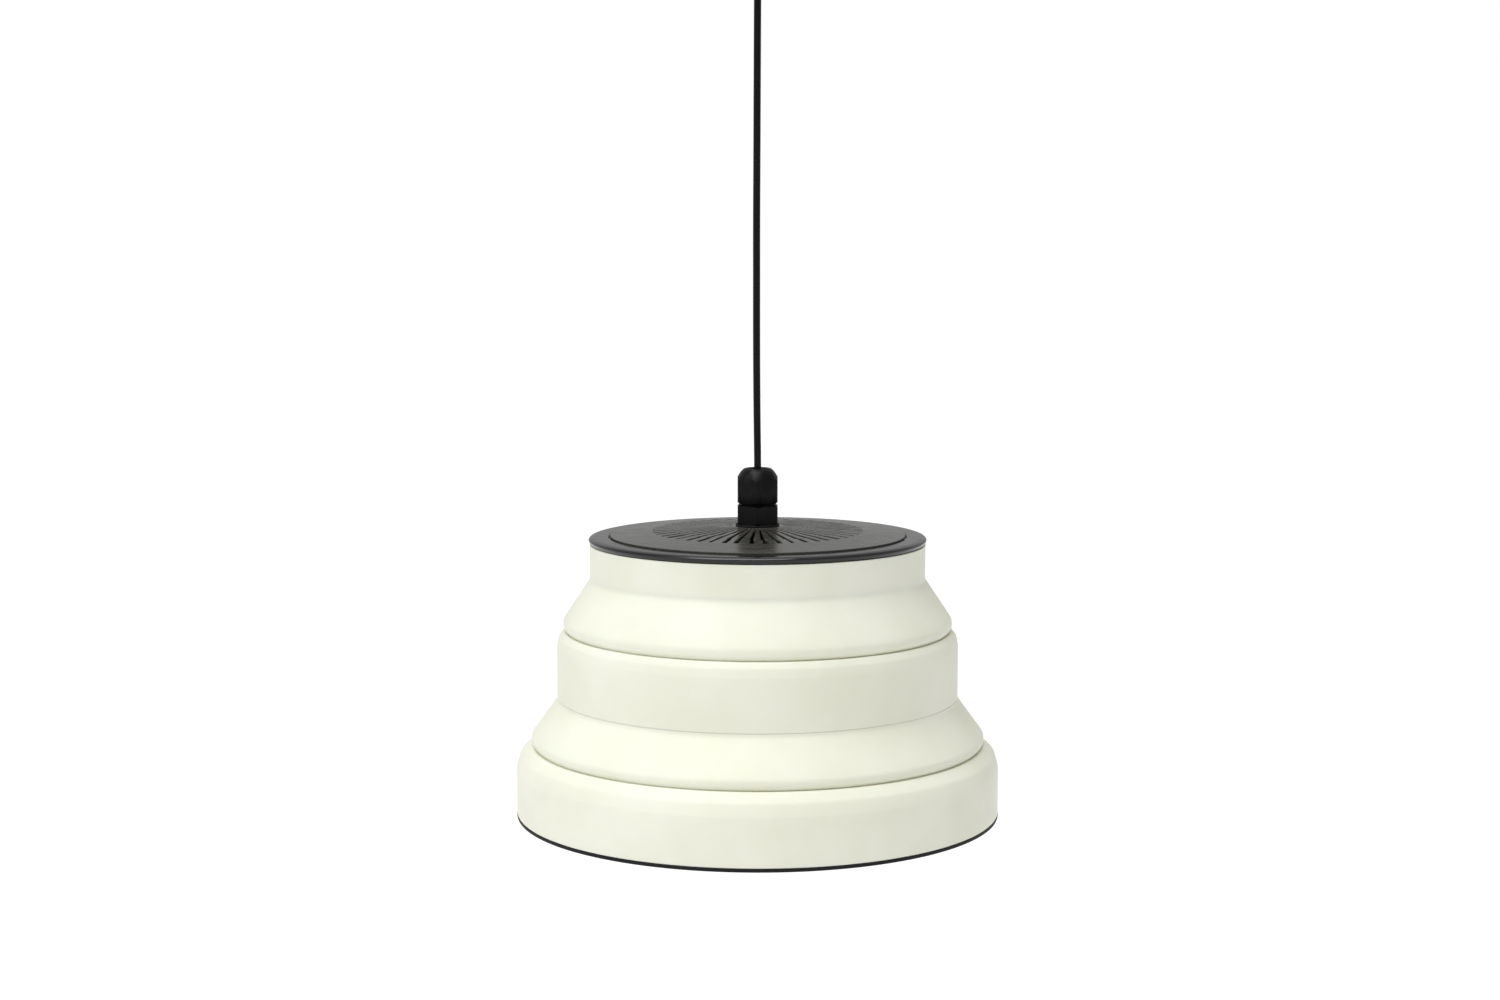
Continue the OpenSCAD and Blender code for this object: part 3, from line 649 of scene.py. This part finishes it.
class ZAPPER_OT_cap(bpy.types.Operator):
    """Add the cap: the rim ring and the slotted vent cover"""
    bl_idname = "zapper.cap"
    bl_label = "Vented cap"

    def execute(self, context):
        look = context.scene.zapper_cap
        black = gloss_abs()
        rim, low, high = span("cap_ring")
        step = look.cover_step
        seat = span("vent_cover")[0] + 0.5 * MM
        inner, ledge, seam = seat - 4.5 * MM, high - 2 * MM, seat + 0.2 * MM
        ring = turn("cap_rim", outline([
            (inner, low, 0), (rim - 1.1 * MM, low, 0.3 * MM), (rim - 0.3 * MM, low + 1.1 * MM, 0.7 * MM),
            (rim, high - 2.1 * MM, 0.7 * MM), (rim - 0.7 * MM, high - 1.3 * MM, 0.6 * MM),
            (rim - 2.6 * MM, high - 0.9 * MM, 1.4 * MM), (seat + 0.6 * MM, high - step, 0.2 * MM),
            (seam, high - step - 0.4 * MM, 0.15 * MM), (seam, ledge, 0), (inner, ledge, 0)]),
            steps=CAP_STEPS)
        done(ring, "pendant", black, ["cap_ring"], CAP_ANGLE)

        edge, _, top = span("vent_cover")
        rise, flat, hole, power = 4 * MM, 11.4 * MM, 8.1 * MM, 1.25
        rim_top = top - rise
        per_slot, slot_from, slot_to = 8, 2.5, 5.5      # facets per slot, and those between which it is open
        radii = [flat, look.slot_start, 17 * MM, 22 * MM, 28 * MM, 34 * MM, 41 * MM, look.slot_end,
                 52 * MM, 58 * MM, 64 * MM, 68 * MM, edge - 0.3 * MM, edge]

        def dome(r):
            return rim_top + rise * (1 - ((r - flat) / (edge - flat)) ** power)

        profile = [(hole, top)] + [(r, dome(r)) for r in radii]
        cover = turn("vent_cover_skin", profile, closed=False, steps=look.slots * per_slot)
        edit(cover)
        bpy.ops.mesh.select_mode(type="FACE")
        bpy.ops.mesh.select_all(action="DESELECT")
        leave()
        pitch = math.tau / look.slots
        for face in cover.data.polygons:
            r = face.center.xy.length
            part = (math.atan2(face.center.y, face.center.x) / pitch) % 1
            in_row = look.slot_start < r < look.slot_end
            face.select = in_row and slot_from / per_slot < part < slot_to / per_slot
        bpy.ops.object.mode_set(mode="EDIT")
        bpy.ops.mesh.delete(type="FACE")
        bpy.ops.mesh.select_all(action="SELECT")
        bpy.ops.mesh.normals_make_consistent(inside=False)
        leave()
        if cover.data.polygons[0].normal.z < 0:
            edit(cover)
            bpy.ops.mesh.flip_normals()
            leave()
        shaped(cover, "SOLIDIFY", thickness=look.cover_wall, offset=-1)
        shaped(cover, "BEVEL", width=0.35 * MM, segments=2, limit_method="ANGLE",
               angle_limit=math.radians(40))
        done(cover, "pendant", satin_abs(), ["vent_cover"], CAP_ANGLE)
        return {"FINISHED"}


class ZAPPER_OT_shade(bpy.types.Operator):
    """Add the silicone shade: collar, two folding webs, two bands and the bottom trim"""
    bl_idname = "zapper.shade"
    bl_label = "Fold-up shade"

    def band(self, name, node, turn_in, turn_h, look, material, body):
        """A band: an upright wall with a rounded shoulder that turns in to its groove."""
        r, low, high = span(node)
        groove = r - turn_in
        lip = groove - look.notch
        outside = [(r, high - turn_h, turn_h * 0.55),
                   (r - look.shoulder_lean * turn_in, high - 0.4 * turn_h, 3 * MM),
                   (groove, high, 0.9 * MM)]
        inside = [(x - look.wall * 0.9, z - look.wall * 0.45, f) for x, z, f in reversed(outside)]
        foot = [(r - look.wall, low, 0.5 * MM), (r, low, 0.5 * MM)]
        turned_in = [(lip, high - 0.1 * MM, 0), (lip, high - look.wall, 0)]
        points = outline(foot + outside + turned_in + inside[1:])
        piece = turn(name, points, steps=SHADE_STEPS)
        done(piece, body, material, [node], SOFT_ANGLE)

    def web(self, name, node, bottom_r, top_r, low, high, look, material, bodies):
        """A folding web: a foot that turns in to the groove, a straight slope and a soft crease."""
        rise = high - low
        seat = low - 0.28 * MM
        lean = [(bottom_r - look.notch, seat, 0), (bottom_r - 0.1 * MM, seat + 2.5 * MM, 1.2 * MM),
                (bottom_r, low + 0.2 * rise, 4 * MM), (top_r, high - 0.06 * rise, look.crease * 2),
                (top_r, high, 0)]
        inside = [(r - look.web, z, f) for r, z, f in reversed(lean)]
        piece = turn(name, outline(lean + inside, stretch=1.2 * MM), steps=SHADE_STEPS)
        done(piece, None, material, [node], SOFT_ANGLE)
        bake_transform(piece)

    def execute(self, context):
        look = context.scene.zapper_shade
        cream = silicone()
        r, low, high = span("shade_collar")
        lip_r, lip_low = 72.5 * MM, high - 2 * MM
        collar = turn("shade_collar_skin", outline([
            (r, low, 0), (r, high, 0.3 * MM), (lip_r, high, 0), (lip_r, lip_low, 0),
            (r - look.wall, lip_low, 0.5 * MM), (r - look.wall, low, 0)]), steps=SHADE_STEPS)
        done(collar, "pendant", cream, ["shade_collar"], SOFT_ANGLE)
        collar_low = low

        mid_r, mid_low, mid_high = span("shade_middle_band")
        low_r, _, low_high = span("shade_lower_band")
        mid_in, low_in = 3 * MM, 7 * MM        # how far each shoulder turns in
        mid_turn, low_turn = 7 * MM, 10 * MM   # and how high it is
        self.band("shade_middle_band_skin", "shade_middle_band", mid_in, mid_turn, look, cream,
                  "middle_ring")
        self.band("shade_lower_band_skin", "shade_lower_band", low_in, low_turn, look, cream,
                  "lower_ring")
        self.web("shade_upper_web_skin", "shade_upper_web", mid_r - mid_in, r, mid_high, collar_low,
                 look, cream, ("pendant", "middle_ring"))
        self.web("shade_lower_web_skin", "shade_lower_web", low_r - low_in, mid_r, low_high, mid_low,
                 look, cream, ("middle_ring", "lower_ring"))

        r, low, high = span("bottom_trim")
        inner = r - 2.8 * MM
        trim = turn("bottom_trim_skin", outline([
            (inner, low, 0.5 * MM), (r, low, 0.7 * MM), (r, high, 0.3 * MM), (inner, high, 0.3 * MM)]),
            steps=SHADE_STEPS)
        done(trim, "lower_ring", soft_rubber(), ["bottom_trim"], CAP_ANGLE)
        return {"FINISHED"}


class ZAPPER_OT_switch(bpy.types.Operator):
    """Add the rubber dome that returns the push button; it is drawn at rest and does not flatten here"""
    bl_idname = "zapper.switch"
    bl_label = "Switch dome"

    def execute(self, context):
        low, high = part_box("switch_dome")
        middle = ((low[0] + high[0]) / 2, (low[1] + high[1]) / 2)
        foot = (high[0] - low[0]) / 2
        wall, play = 0.6 * MM, 0.1 * MM
        head, top = low[2], high[2]
        dome = turn("switch_dome_skin", outline([
            (0, head, 0), (2 * MM, head, 0.2 * MM), (foot - wall, top - wall, 0.5 * MM),
            (foot, top - wall, 0.2 * MM), (foot, top, 0), (foot - 2 * wall, top, 0.2 * MM),
            (1.6 * MM, head + wall, 0.4 * MM), (0, head + wall, 0)], closed=False),
            closed=False, steps=48)
        edit(dome)
        bpy.ops.transform.translate(value=(*middle, 0))
        leave()
        done(dome, "pendant", soft_rubber(), ["switch_dome"])
        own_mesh(dome)
        return {"FINISHED"}


class ZAPPER_OT_finishes(bpy.types.Operator):
    """Give the remaining frame pieces their materials"""
    bl_idname = "zapper.finishes"
    bl_label = "Finishes"

    def execute(self, context):
        zinc = zinc_steel()
        grain = spark_abs("spark_texture_abs_black")
        looks = {
            "ceiling_plate": zinc, "cup_screws": zinc, "cover_screws": zinc, "cap_screws": zinc,
            "board_screws": zinc, "guard_screws": zinc,
            "ceiling_cup": spark_abs("spark_texture_abs_cup", "#19191b"),
            "terminal_block": moulded("moulded_polyamide_ivory", "#dedbcf"),
            "swivel_ball": nylon("turned_nylon_ball", "#1a1a1c"),
            "cord_grip": moulded("natural_nylon", "#d9d8d2"),
            "gland_locknut": nylon("moulded_nylon_locknut"), "housing": grain, "guard_top_ring": grain,
            "guard_bars": grain, "guard_base": grain, "catch_tray": grain,
            "driver_board": solder_mask("green_solder_mask", "#174a2b", "#236b3e"),
            "light_board": solder_mask("white_solder_mask", "#e4e4e0", "#f2f2ef"),
            "cord_connector": moulded("moulded_nylon_white", "#eceae4"),
            "hv_transformer": moulded("polyester_tape_amber", "#c79a2b", 0.3),
            "capacitors": moulded("shrink_sleeve_blue", "#20305f", 0.28),
            "light_diodes": moulded("phosphor_resin", "#ead98a", 0.25),
            "light_lens": opal_acrylic(),
            "push_button": moulded("moulded_abs_orange", "#d8641f", 0.38),
            "uv_post": aluminium_post(), "uv_diodes": moulded("clear_violet_resin", "#b9aee8", 0.12),
            "lamp_tube": clear_polycarbonate(), "grid_bus_rings": metal("stamped_brass", "#b8934a"),
            "upper_insulator": moulded("moulded_phenolic_cream", "#d9d2bf"),
            "lower_insulator": moulded("moulded_phenolic_cream_base", "#d9d2bf"),
            "live_bars": stainless_wire(), "return_bars": stainless_wire()}
        for name, material in looks.items():
            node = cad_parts[name]
            for slot in node.material_slots:
                slot.material = material
        return {"FINISHED"}


class ZAPPER_PT_panel(bpy.types.Panel):
    """Lists the pieces and their settings"""
    bl_idname = "ZAPPER_PT_panel"
    bl_label = "Hanging insect killer"
    bl_space_type = "VIEW_3D"
    bl_region_type = "UI"
    bl_category = "Insect killer"

    def draw(self, context):
        scene = context.scene
        for group in (scene.zapper_studio, scene.zapper_gland, scene.zapper_cap, scene.zapper_shade):
            for key in group.__annotations__:
                self.layout.prop(group, key)
        for piece in PIECES:
            self.layout.operator(piece.bl_idname)


GROUPS = {"zapper_studio": StudioSettings, "zapper_gland": GlandSettings,
          "zapper_cap": CapSettings, "zapper_shade": ShadeSettings}
PIECES = (ZAPPER_OT_stage, ZAPPER_OT_cord, ZAPPER_OT_gland, ZAPPER_OT_cap, ZAPPER_OT_shade,
          ZAPPER_OT_switch, ZAPPER_OT_finishes)


def register():
    for name, group in GROUPS.items():
        bpy.utils.register_class(group)
        setattr(bpy.types.Scene, name, bpy.props.PointerProperty(type=group))
    for piece in (*PIECES, ZAPPER_PT_panel):
        bpy.utils.register_class(piece)


def unregister():
    for piece in reversed((*PIECES, ZAPPER_PT_panel)):
        bpy.utils.unregister_class(piece)
    for name, group in GROUPS.items():
        delattr(bpy.types.Scene, name)
        bpy.utils.unregister_class(group)


def main():
    register()
    bpy.ops.zapper.stage()
    bpy.ops.zapper.cord()
    bpy.ops.zapper.gland()
    bpy.ops.zapper.cap()
    bpy.ops.zapper.shade()
    bpy.ops.zapper.switch()
    bpy.ops.zapper.finishes()


if __name__ == "__main__":
    main()
